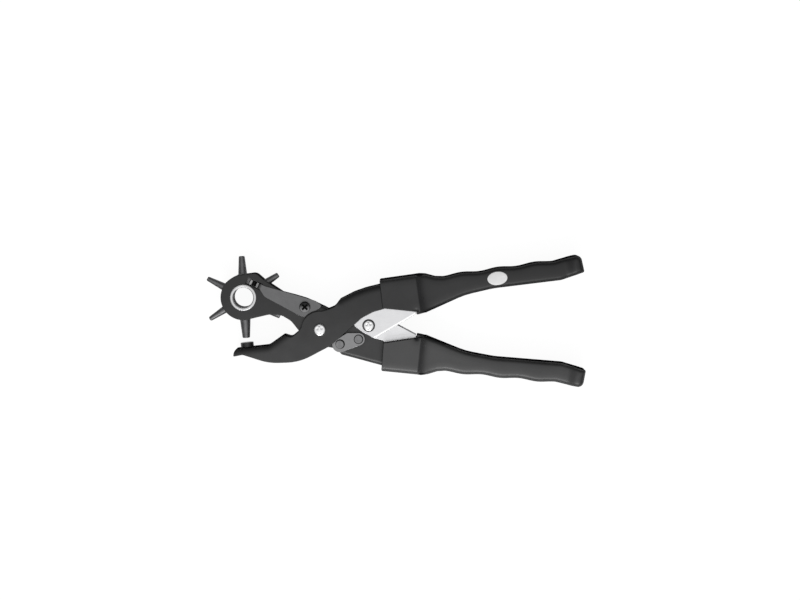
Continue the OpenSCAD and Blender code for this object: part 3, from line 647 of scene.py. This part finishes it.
turned_steel = new_finish("turned_steel", DULL_RIM, turned_recipe)
black_oxide = new_finish("black_oxide", {"Specular IOR Level": 0.5}, oxide_recipe)

# %% [markdown]
# ## Soft edges on the sheet pieces
#
# The CAD solids have the right outlines, but real sheet is never knife sharp. Cut edges are broken
# by a few tenths, so a welded copy of the CAD mesh gets a small bevel. On the small steel it runs
# along every sharp outer edge. On the folded sheets and the grips it keeps to the rims of their
# outer faces, because a bevel in a narrow inner corner throws spikes. The radius stays the same all
# over a piece for the same reason.

# %% Helpers for welded copies with broken edges
WELD = 2e-6
MERGE = 1e-7
SAME_FLAT = math.radians(0.5)
SHARP = math.radians(24)
SMOOTH = math.radians(35)
FLAT_SLOPE = 0.6
WALL_SLOPE = 0.45


def outward(face):
    """A flat that faces away from the tool's mid-plane."""
    away = face.normal.z * (face.calc_center_median().z - MID_Z) > 0
    return away and abs(face.normal.z) > FLAT_SLOPE


def is_rim(edge):
    """An edge between an outward flat and something else."""
    return sum(outward(face) for face in edge.link_faces) == 1


def welded(node):
    """A CAD node's loose triangles as one mesh of flat faces."""
    bm = bmesh.new()
    bm.from_mesh(frame["nodes"][node].data)
    bmesh.ops.remove_doubles(bm, verts=bm.verts, dist=WELD)
    bmesh.ops.dissolve_limit(
        bm, angle_limit=SAME_FLAT, use_dissolve_boundaries=False,
        verts=bm.verts, edges=bm.edges)
    return bm


def break_edges(bm, radius, segments=3, above=0.0, rims=False):
    """Bevel the sharp outer edges that lie further than above from the middle, or only the rims."""
    sharp = [edge for edge in bm.edges if len(edge.link_faces) == 2
             and edge.is_convex and edge.calc_face_angle() > SHARP
             and min(abs(vert.co.z - MID_Z) for vert in edge.verts) >= above * MM
             and (is_rim(edge) or not rims)]
    bmesh.ops.bevel(
        bm, geom=sharp, offset=radius * MM, offset_type="OFFSET", segments=segments,
        profile=0.5, affect="EDGES", material=-1, clamp_overlap=False)
    return len(sharp)


def add_piece(name, bm, finish, body, nodes=(), walls=None):
    """One finished piece; walls is the finish of the faces that stand upright."""
    mesh = bpy.data.meshes.new(name)
    bm.to_mesh(mesh)
    bm.free()
    mesh.polygons.foreach_set("use_smooth", [True] * len(mesh.polygons))
    mesh.set_sharp_from_angle(angle=SMOOTH)
    mesh.materials.append(finish)
    if walls:
        mesh.materials.append(walls)
        for face in mesh.polygons:
            face.material_index = int(abs(face.normal.z) < WALL_SLOPE)
    piece = bpy.data.objects.new(name, mesh)
    scene.collection.objects.link(piece)
    piece.modifiers.new("flats", "WEIGHTED_NORMAL").keep_sharp = True
    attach(piece, body)
    if nodes:
        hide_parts(*nodes)
    return piece


def body_of(node):
    return frame["nodes"][node]["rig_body"]


print("edge helpers ready")

# %% [markdown]
# Where the sheet folds round from one side of the tool to the other, the edge has a radius of 2
# to 5 mm that dies out where the fold ends. Such an edge is pressed into the mesh: the outer face
# is cut into a fine grid, and each of its points drops by an arc of its distance to the fold's
# line. A wall that runs right across the tool marks a fold. The arc ends at 45 degrees on the
# jaws, whose sheet is only 2 mm thick, and goes further round on the lever and the grips.

# %% Helpers that press a fold's radius into a face
ACROSS = 6.0
UPRIGHT = 0.4
GRID = 0.6
ARC_END = math.radians(45)
LONG_ARC_END = math.radians(66)


def is_fold(edge):
    """An outer edge between an outward flat and a wall that runs right across the tool."""
    flats = [face for face in edge.link_faces if outward(face)]
    walls = [face for face in edge.link_faces if abs(face.normal.z) < UPRIGHT]
    if len(flats) != 1 or len(walls) != 1 or not edge.is_convex:
        return False
    heights = [vert.co.z for vert in walls[0].verts]
    return max(heights) - min(heights) > ACROSS * MM


def fold_lines(bm, wanted):
    """The folds as an array of flat line segments, in millimetres."""
    return np.array([[vert.co.xy[:] for vert in edge.verts]
                     for edge in bm.edges if is_fold(edge) and wanted(edge)]) / MM


def distance_to(lines, spots):
    """Least distance from each spot to the line segments."""
    start, run = lines[:, 0], lines[:, 1] - lines[:, 0]
    least = np.full(len(spots), np.inf)
    for a, d in zip(start, run):
        share = np.clip(((spots - a) @ d) / max(d @ d, 1e-12), 0, 1)
        least = np.minimum(least, np.hypot(*(spots - a - share[:, None] * d).T))
    return least


def cut_grid(bm, wanted, low, high, turn=0.0):
    """Cut the wanted faces into squares between two corners, along axes turned about Z."""
    along = Vector((math.cos(turn), math.sin(turn), 0))
    across = Vector((-math.sin(turn), math.cos(turn), 0))
    bmesh.ops.connect_verts_concave(bm, faces=[face for face in bm.faces if wanted(face)])
    faces = [face for face in bm.faces if wanted(face)]
    parts = set(faces)
    for face in faces:
        parts.update(face.verts)
        parts.update(face.edges)
    parts = list(parts)
    for axis, start, stop in ((along, low[0], high[0]), (across, low[1], high[1])):
        for step in range(int((stop - start) / GRID) + 1):
            cut = bmesh.ops.bisect_plane(
                bm, geom=parts, dist=MERGE, plane_co=axis * (start + GRID * step) * MM,
                plane_no=axis)
            parts = cut["geom"]


def arc_drop(distance, radius, arc_end):
    """How far an edge's arc lies under the flat, at a distance from the edge."""
    ball = radius / math.sin(arc_end)
    inside = np.clip(radius - distance, 0, radius)
    return ball - np.sqrt(ball ** 2 - inside ** 2)


print("fold helpers ready")

# %% [markdown]
# The two jaws and the lever take their folds from the same press, each with its own radius. The
# grips hide the sheets' far ends, so those need no fine grid.

# %% Folded sheets
GRIPS_FROM = HANDLE_PIVOT.x + 20 * MM
SHELL_BAND = 0.05


def folded_piece(name, node, outer, radius, edge, arc_end=ARC_END):
    """A sheet piece whose outer faces lie at outer from the middle and roll over at its folds."""
    bm = welded(node)
    lines = fold_lines(bm, lambda line: min(vert.co.x for vert in line.verts) < GRIPS_FROM)
    break_edges(bm, edge, segments=2, rims=True)

    def is_shell(face):
        depth = abs(face.calc_center_median().z - MID_Z)
        return outward(face) and depth > (outer - SHELL_BAND) * MM

    ends = lines.reshape(-1, 2)
    ends[:, 0] = np.minimum(ends[:, 0], GRIPS_FROM / MM)
    cut_grid(bm, is_shell, ends.min(0) - radius, ends.max(0) + radius)
    shell = [vert for vert in bm.verts
             if abs(vert.co.z - MID_Z) > (outer - edge) * MM - 1e-6]
    spots = np.array([vert.co.xy[:] for vert in shell]) / MM
    for vert, drop in zip(shell, arc_drop(distance_to(lines, spots), radius, arc_end)):
        vert.co.z -= math.copysign(drop * MM, vert.co.z - MID_Z)
    count = len(bm.faces)
    add_piece(name, bm, charcoal_coat, body_of(node), [node], charcoal_edge)
    print(name, "has", len(lines), "fold lines and", count, "faces")


folded_piece("frame_sheet", "anvil_frame", outer=9.375, radius=4.8, edge=0.3)
folded_piece("jaw_sheet", "turret_jaw", outer=7.2, radius=2.8, edge=0.3)
folded_piece(
    "lever_sheet", "lower_lever", outer=5.2, radius=3.0, edge=0.3, arc_end=LONG_ARC_END)

# %% [markdown]
# The grips are sleeves with generous moulded radii along their length and a thin crisp rim at the
# mouth where the steel goes in. Their faces step down behind the mouth, rise again to a flare at
# the end in a soft S curve, and are a little crowned from edge to edge. Places are read in the
# handle's own frame, x along it from the pivot, and the same grid carries the edge's arc, the
# crown and the curves along the handle.

# %% Moulded grips
MOUTH_X = 11.5
CREASE_X = 36.5
GRIP_END = 145.2
MOUTH_HALF = 10.975
HANDLE_HALF = 8.0
FLARE_HALF = 10.2
GRIP_RADIUS = 2.8
CROWN = 0.9
CROWN_REACH = 6.2
GRIP_EDGE = 0.4
GRIP_SKIN = GRIP_EDGE + 0.02
MOUTH_RIM = 1.2
CREASE_ENDS = (CREASE_X - 1.5, CREASE_X + 3)
FLARE_ENDS = (GRIP_END - 12, GRIP_END - 5)
SOFT_FLARE_ENDS = (GRIP_END - 12.5, GRIP_END - 4.5)
STEP_BEFORE = 1.8
STEP_LENGTH = 3.4
STEP_POWER = 1.3


def along_handle(turn, spots):
    """Distance along a handle from its pivot, in millimetres."""
    arms = spots - np.array(HANDLE_PIVOT.xy) / MM
    return arms @ np.array((math.cos(turn), math.sin(turn)))


def solid_half(x):
    """Half the thickness of the CAD grip along the handle."""
    return np.interp(
        x, CREASE_ENDS + FLARE_ENDS, (MOUTH_HALF, HANDLE_HALF, HANDLE_HALF, FLARE_HALF))


def soft_step(x, low, high):
    share = np.clip((x - low) / (high - low), 0, 1)
    return share * share * (3 - 2 * share)


def moulded_half(x):
    """The same thickness with a step that runs out slowly and a flare in an S curve."""
    past = np.maximum(x - CREASE_X + STEP_BEFORE, 0)
    step = (MOUTH_HALF - HANDLE_HALF) * (1 - np.exp(-(past / STEP_LENGTH) ** STEP_POWER))
    flare = (FLARE_HALF - HANDLE_HALF) * soft_step(x, *SOFT_FLARE_ENDS)
    return MOUTH_HALF - step + flare


def edge_drop(lines, spots):
    """How far the moulded face lies under its highest line, from the arc and the crown."""
    distance = distance_to(lines, spots)
    crown = CROWN * np.clip(1 - distance / CROWN_REACH, 0, 1) ** 2
    return arc_drop(distance, GRIP_RADIUS, LONG_ARC_END) + crown


def moulded_grip(node):
    turn = HANDLE_TURN[node]
    bm = welded(node)

    def is_long(edge):
        ends = np.array([vert.co.xy[:] for vert in edge.verts]) / MM
        return along_handle(turn, ends).max() > MOUTH_X + MOUTH_RIM

    lines = fold_lines(bm, is_long)
    break_edges(bm, GRIP_EDGE, segments=2, rims=True)
    ends = lines.reshape(-1, 2) @ np.array(
        ((math.cos(turn), -math.sin(turn)), (math.sin(turn), math.cos(turn))))
    cut_grid(bm, outward, ends.min(0), ends.max(0), turn)
    spots = np.array([vert.co.xy[:] for vert in bm.verts]) / MM
    depth = np.array([abs(vert.co.z - MID_Z) for vert in bm.verts]) / MM
    x = along_handle(turn, spots)
    under = solid_half(x) - depth
    new_depth = moulded_half(x) - edge_drop(lines, spots) - under
    for vert, below, height in zip(bm.verts[:], under, new_depth):
        if below < GRIP_SKIN:
            vert.co.z = MID_Z + math.copysign(height * MM, vert.co.z - MID_Z)
    count = len(bm.faces)
    add_piece(
        node + "_sleeve", bm, grip_black, body_of(node), [node], grip_edge_black)
    print(node, "has", len(lines), "edge lines and", count, "faces")
    return lines


grip_lines = {grip: moulded_grip(grip) for grip in HANDLE_TURN}

# %% [markdown]
# Leaves, links, the index spring and the small turned parts have only broken edges. The heads of
# the link pins are broken and their shanks are not, since the shanks run in the links' holes.

# %% Broken edges on the small steel
PIN_HEADS_FROM = 7.1


def broken_piece(name, node, radius, finish, segments=3, above=0.0):
    bm = welded(node)
    count = break_edges(bm, radius, segments, above)
    add_piece(name, bm, finish, body_of(node), [node])
    print(name, "has", count, "broken edges")


for side, upper, lower in (("front", upper_sheet, lower_sheet), ("rear", far_sheet, far_sheet)):
    broken_piece("upper_leaf_plate_" + side, "upper_leaf_" + side, 0.3, upper)
    broken_piece("lower_leaf_plate_" + side, "lower_leaf_" + side, 0.2, lower)
    broken_piece("link_plate_" + side, "link_" + side, 0.25, grey_sheet)
broken_piece("index_leaf", "index_spring", 0.2, spring_sheet)
broken_piece("anvil_button", "anvil", 0.35, black_oxide, segments=4)
for pin, finish in (("tail", tail_pin_steel), ("lever", lever_pin_steel)):
    broken_piece(
        pin + "_pin_heads", pin + "_link_rivet", 0.3, finish,
        segments=4, above=PIN_HEADS_FROM)
broken_piece("index_screw", "spring_screw", 0.15, screw_steel, segments=4)
broken_piece("index_nut", "spring_screw_nut", 0.25, grey_sheet)
broken_piece("pivot_washers", "handle_pivot_washers", 0.12, black_oxide)
broken_piece("turret_drum", "turret_wheel", 0.2, turned_steel)

# %% [markdown]
# ## Turned pieces
#
# Rivets and tubes are bodies of revolution, so an outline of a few points is spun once round its
# axis. A ready-made cylinder would need cutting and bevelling to get the same steps and curves.

# %% Spin an outline round an axis
def spun(outline, closed, steps=72):
    """A mesh spun round Z from points of (radius, height) in millimetres."""
    bm = bmesh.new()
    points = [bm.verts.new((radius * MM, 0, height * MM)) for radius, height in outline]
    pairs = list(zip(points, points[1:]))
    if closed:
        pairs.append((points[-1], points[0]))
    edges = [bm.edges.new(pair) for pair in pairs]
    bmesh.ops.spin(
        bm, geom=points + edges, cent=(0, 0, 0), axis=(0, 0, 1), angle=math.tau,
        steps=steps, use_merge=True)
    bmesh.ops.remove_doubles(bm, verts=bm.verts, dist=MERGE)
    bmesh.ops.recalc_face_normals(bm, faces=bm.faces)
    return bm


print("lathe ready")

# %% [markdown]
# The two bright rivets are domed by hammering, which leaves flattish heads with a few dents. The
# dome is a spun curve between a circle and a square. Each dent is a soft pit in the spun mesh,
# placed by its distance from the middle, its angle and its size, as shares of the head's radius.

# %% Hammered rivets
DOME_RINGS = 16
DOME_CURVE = 3.6
DENT_DEPTH = 0.34
DENT_PLACES = ((0.45, 155, 0.2), (0.42, 40, 0.2), (0.66, 95, 0.13), (0.6, 262, 0.16))
DENTS = [(share * math.cos(math.radians(turn)), share * math.sin(math.radians(turn)), size)
         for share, turn, size in DENT_PLACES]


def middle(node):
    low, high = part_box(node)
    return (low + high) / 2


def domed_rivet(name, node, shank, head, seat, height):
    """A rivet with a hammered dome at each end; seat is the head's distance from the middle."""
    shares = [math.sin(math.pi / 2 * step / DOME_RINGS) for step in range(DOME_RINGS)] + [1]
    top = [(share * head, seat + height * (1 - share ** DOME_CURVE) ** (1 / DOME_CURVE))
           for share in shares]
    outline = top + [(shank, seat)]
    outline += [(radius, -level) for radius, level in reversed(outline)]
    bm = spun(outline, closed=False)
    for vert in bm.verts:
        x, y = vert.co.xy / (head * MM)
        dent = sum(math.exp(-((x - dent_x) ** 2 + (y - dent_y) ** 2) / size ** 2)
                   for dent_x, dent_y, size in DENTS)
        vert.co.z -= math.copysign(DENT_DEPTH * MM * min(dent, 1), vert.co.z)
    bmesh.ops.translate(bm, verts=bm.verts, vec=middle(node))
    add_piece(name, bm, bright_plate, "frame", [node])
    print(name, "spun from", len(outline), "points")


domed_rivet("main_rivet_domes", "main_pivot_rivet", shank=3.0, head=4.0, seat=9.375, height=1.6)
domed_rivet(
    "handle_rivet_domes", "handle_pivot_rivet", shank=2.5, head=3.55, seat=7.775, height=1.2)

# %% [markdown]
# The eyelet's barrel keeps its CAD shape, with the window that lets the punched discs out. Its two
# flanges are rolled over from the barrel, so they are cut off the copy and spun with round lips.
# The barrel's ends are closed and reach a little way into the lips.

# %% Roll the eyelet's lips
EYELET_BORE = 6.6
EYELET_FLANGE = 8.8
EYELET_TOP = 8.0
LIP_ROUND = 0.72
LIP_LAP = 0.05
LIP_STEPS = 8
eyelet_body = body_of("turret_eyelet")

bm = welded("turret_eyelet")
for side in (1, -1):
    cut = bmesh.ops.bisect_plane(
        bm, geom=bm.verts[:] + bm.edges[:] + bm.faces[:], dist=MERGE, clear_outer=True,
        plane_co=(0, 0, MID_Z + side * (EYELET_SEAT - LIP_LAP) * MM), plane_no=(0, 0, side))
    rings = [part for part in cut["geom_cut"] if isinstance(part, bmesh.types.BMEdge)]
    bmesh.ops.bridge_loops(bm, edges=rings)
    ends = {vert for edge in rings for vert in edge.verts}
    bmesh.ops.translate(bm, verts=list(ends), vec=(0, 0, side * 2 * LIP_LAP * MM))
bmesh.ops.recalc_face_normals(bm, faces=bm.faces)
add_piece("eyelet_barrel", bm, bored_plate, eyelet_body, ["turret_eyelet"])
quarter = [math.pi / 2 * step / LIP_STEPS for step in range(LIP_STEPS + 1)]
inset = [(LIP_ROUND * (1 - math.cos(turn)), LIP_ROUND * (1 - math.sin(turn))) for turn in quarter]
lip = [(EYELET_FLANGE, EYELET_SEAT)]
lip += [(EYELET_FLANGE - slow, EYELET_TOP - fast) for slow, fast in inset]
lip += [(EYELET_BORE + fast, EYELET_TOP - slow) for slow, fast in inset]
lip += [(EYELET_BORE, EYELET_SEAT)]
for name, side in (("front", 1), ("rear", -1)):
    bm = spun([(radius, side * level) for radius, level in lip], closed=True, steps=96)
    bmesh.ops.translate(bm, verts=bm.verts, vec=TURRET)
    add_piece("eyelet_lip_" + name, bm, bored_plate, eyelet_body)
print("eyelet rolled")

# %% [markdown]
# The six tubes are cones with a collar, a straight bore and a short sharpening bevel at the tip.
# One outline, with the bore as its only variable, is spun for each and laid out round the turret.

# %% Punch tubes
TUBE_TURN = 273
TUBE_STEP = 60
HOLE_WIDTHS = (4.0, 3.5, 2.5, 3.0, 2.0, 1.5)
TUBE_SEAT = 13.4
TUBE_TIP = 27.0
COLLAR = 3.7
CONE_FROM = 14.9
SHANK = 2.9
SHANK_END = 9.0
TIP_WALL = 0.4
LEAST_TIP = 1.45
CONE_GROWS = 1.0
COLLAR_BREAK = 0.25
ROOT_FILLET = 0.2
TIP_BEVEL = 0.5
BEVEL_STEP = 0.06
TIP_EDGE = 0.1
for count, hole in enumerate(HOLE_WIDTHS):
    bore = hole / 2
    tip = max(bore + TIP_WALL, LEAST_TIP)
    root = tip + CONE_GROWS
    outline = [
        (bore, SHANK_END), (SHANK, SHANK_END), (SHANK, TUBE_SEAT), (COLLAR, TUBE_SEAT),
        (COLLAR, CONE_FROM - COLLAR_BREAK), (COLLAR - COLLAR_BREAK, CONE_FROM),
        (root + ROOT_FILLET, CONE_FROM), (root, CONE_FROM + ROOT_FILLET),
        (tip + BEVEL_STEP, TUBE_TIP - TIP_BEVEL), (bore + TIP_EDGE, TUBE_TIP),
        (bore, TUBE_TIP - TIP_EDGE)]
    bm = spun(outline, closed=True, steps=64)
    lay = Matrix.Rotation(math.radians(90), 4, "Y")
    aim = Matrix.Rotation(math.radians(TUBE_TURN + TUBE_STEP * count), 4, "Z")
    bmesh.ops.transform(bm, matrix=Matrix.Translation(TURRET) @ aim @ lay, verts=bm.verts)
    node = "punch_tube_" + str(count + 1)
    add_piece("tube_" + str(count + 1), bm, turned_steel, "turret", [node])
print("six tubes turned")

# %% [markdown]
# ## Return spring
#
# A torsion spring of round wire sits round the handle pivot with a leg against each handle. It is
# a curve with a round bevel along the coil's own points, made a mesh at the end.

# %% Wind the return spring
WIRE = 1.1
COIL = 4.0
PITCH = 1.6
LEG = 21.0
LEG_UP = 80.0
LEG_DOWN = -77.7
LEG_STARTS = 0.5
COIL_TURNS = 3
COIL_STEPS = 140
WIRE_ROUNDNESS = 3
coil_from = LEG_DOWN + 90
coil_to = LEG_UP - 90 + COIL_TURNS * 360
coil_rise = PITCH * (coil_to - coil_from) / 360


def coil_point(turn):
    angle = math.radians(turn)
    rise = PITCH * (turn - coil_from) / 360 - coil_rise / 2
    return HANDLE_PIVOT + MM * Vector((COIL * math.cos(angle), COIL * math.sin(angle), rise))


def leg_point(turn, leg, length):
    angle = math.radians(leg)
    return coil_point(turn) + MM * length * Vector((math.cos(angle), math.sin(angle), 0))


wire_line = [leg_point(coil_from, LEG_DOWN, LEG), leg_point(coil_from, LEG_DOWN, LEG_STARTS)]
wire_line += [coil_point(coil_from + (coil_to - coil_from) * step / COIL_STEPS)
              for step in range(1, COIL_STEPS)]
wire_line += [leg_point(coil_to, LEG_UP, LEG_STARTS), leg_point(coil_to, LEG_UP, LEG)]
wire_curve = bpy.data.curves.new("return_wire", "CURVE")
wire_curve.dimensions = "3D"
wire_curve.bevel_depth = WIRE / 2 * MM
wire_curve.bevel_resolution = WIRE_ROUNDNESS
wire_curve.use_fill_caps = True
line = wire_curve.splines.new("POLY")
line.points.add(len(wire_line) - 1)
for point, spot in zip(line.points, wire_line):
    point.co = (*spot, 1)
drawn = bpy.data.objects.new("return_wire_line", wire_curve)
scene.collection.objects.link(drawn)
shown_line = drawn.evaluated_get(bpy.context.evaluated_depsgraph_get())
wire_mesh = bpy.data.meshes.new_from_object(shown_line)
bm = bmesh.new()
bm.from_mesh(wire_mesh)
bpy.data.objects.remove(drawn)
bpy.data.curves.remove(wire_curve)
bpy.data.meshes.remove(wire_mesh)
bmesh.ops.remove_doubles(bm, verts=bm.verts, dist=MERGE)
add_piece("return_wire", bm, grey_sheet, "frame", ["return_spring"])
print("return spring wound,", len(wire_line), "points")

# %% [markdown]
# ## Blank inlay
#
# The upper grip has a pale oval set into its face. It stays blank: a thin plate with a rounded
# edge, spun as a round disc, stretched to an oval and laid on the crowned face point by point.

# %% Set the inlay on the upper grip
INLAY_AT = MAIN_PIVOT + Vector((116.56, 33.77, 0)) * MM
INLAY_LONG = 6.55
INLAY_WIDE = 4.4
INLAY_PROUD = 0.12
INLAY_DEEP = 0.3
DISC_RINGS = 8
disc = [(ring / DISC_RINGS, INLAY_PROUD) for ring in range(DISC_RINGS)]
disc += [(0.975, INLAY_PROUD), (0.992, INLAY_PROUD - 0.04), (1.0, INLAY_PROUD - 0.1)]
disc += [(1.0, -INLAY_DEEP), (0.0, -INLAY_DEEP)]
bm = spun(disc, closed=False, steps=96)
bmesh.ops.scale(bm, vec=(INLAY_LONG, INLAY_WIDE, 1), verts=bm.verts)
lie = Matrix.Rotation(UPPER_TURN, 4, "Z")
bmesh.ops.transform(bm, matrix=Matrix.Translation(INLAY_AT) @ lie, verts=bm.verts)
spots = np.array([vert.co.xy[:] for vert in bm.verts]) / MM
face_at = moulded_half(along_handle(UPPER_TURN, spots)) - edge_drop(grip_lines["upper_grip"], spots)
for vert, height in zip(bm.verts, face_at):
    vert.co.z += height * MM


def inlay_recipe(shade):
    spot = place(shade)
    cloud = noise(shade, spot, 300.0, 3.0)
    return {
        "Base Color": blend(cloud, (0.74, 0.74, 0.74), (0.90, 0.90, 0.90)),
        "Roughness": 0.42 + 0.10 * cloud,
        "Normal": bump(noise(shade, spot, 2500.0), 0.05, 0.0001),
    }


inlay_white = new_finish("inlay_white", {"Specular IOR Level": 0.4}, inlay_recipe)
add_piece("grip_inlay", bm, inlay_white, "frame")
print("inlay set")

# %% [markdown]
# ## Steel that stays as packed
#
# The dowel, the spacer, the tail and the rivets inside the grips keep their CAD shapes, because
# only slivers of them show. They get the worked steel finishes on their own material slots.

# %% Finish the carried-over solids
KEPT = {
    "jaw_tail": black_oxide,
    "tail_dowel": grey_sheet,
    "spring_screw_spacer": grey_sheet,
    "upper_leaf_rivets": grey_sheet,
    "lower_leaf_rivets": grey_sheet,
}
for node, finish in KEPT.items():
    for material_slot in frame["nodes"][node].material_slots:
        material_slot.material = finish
print("kept solids:", ", ".join(KEPT))
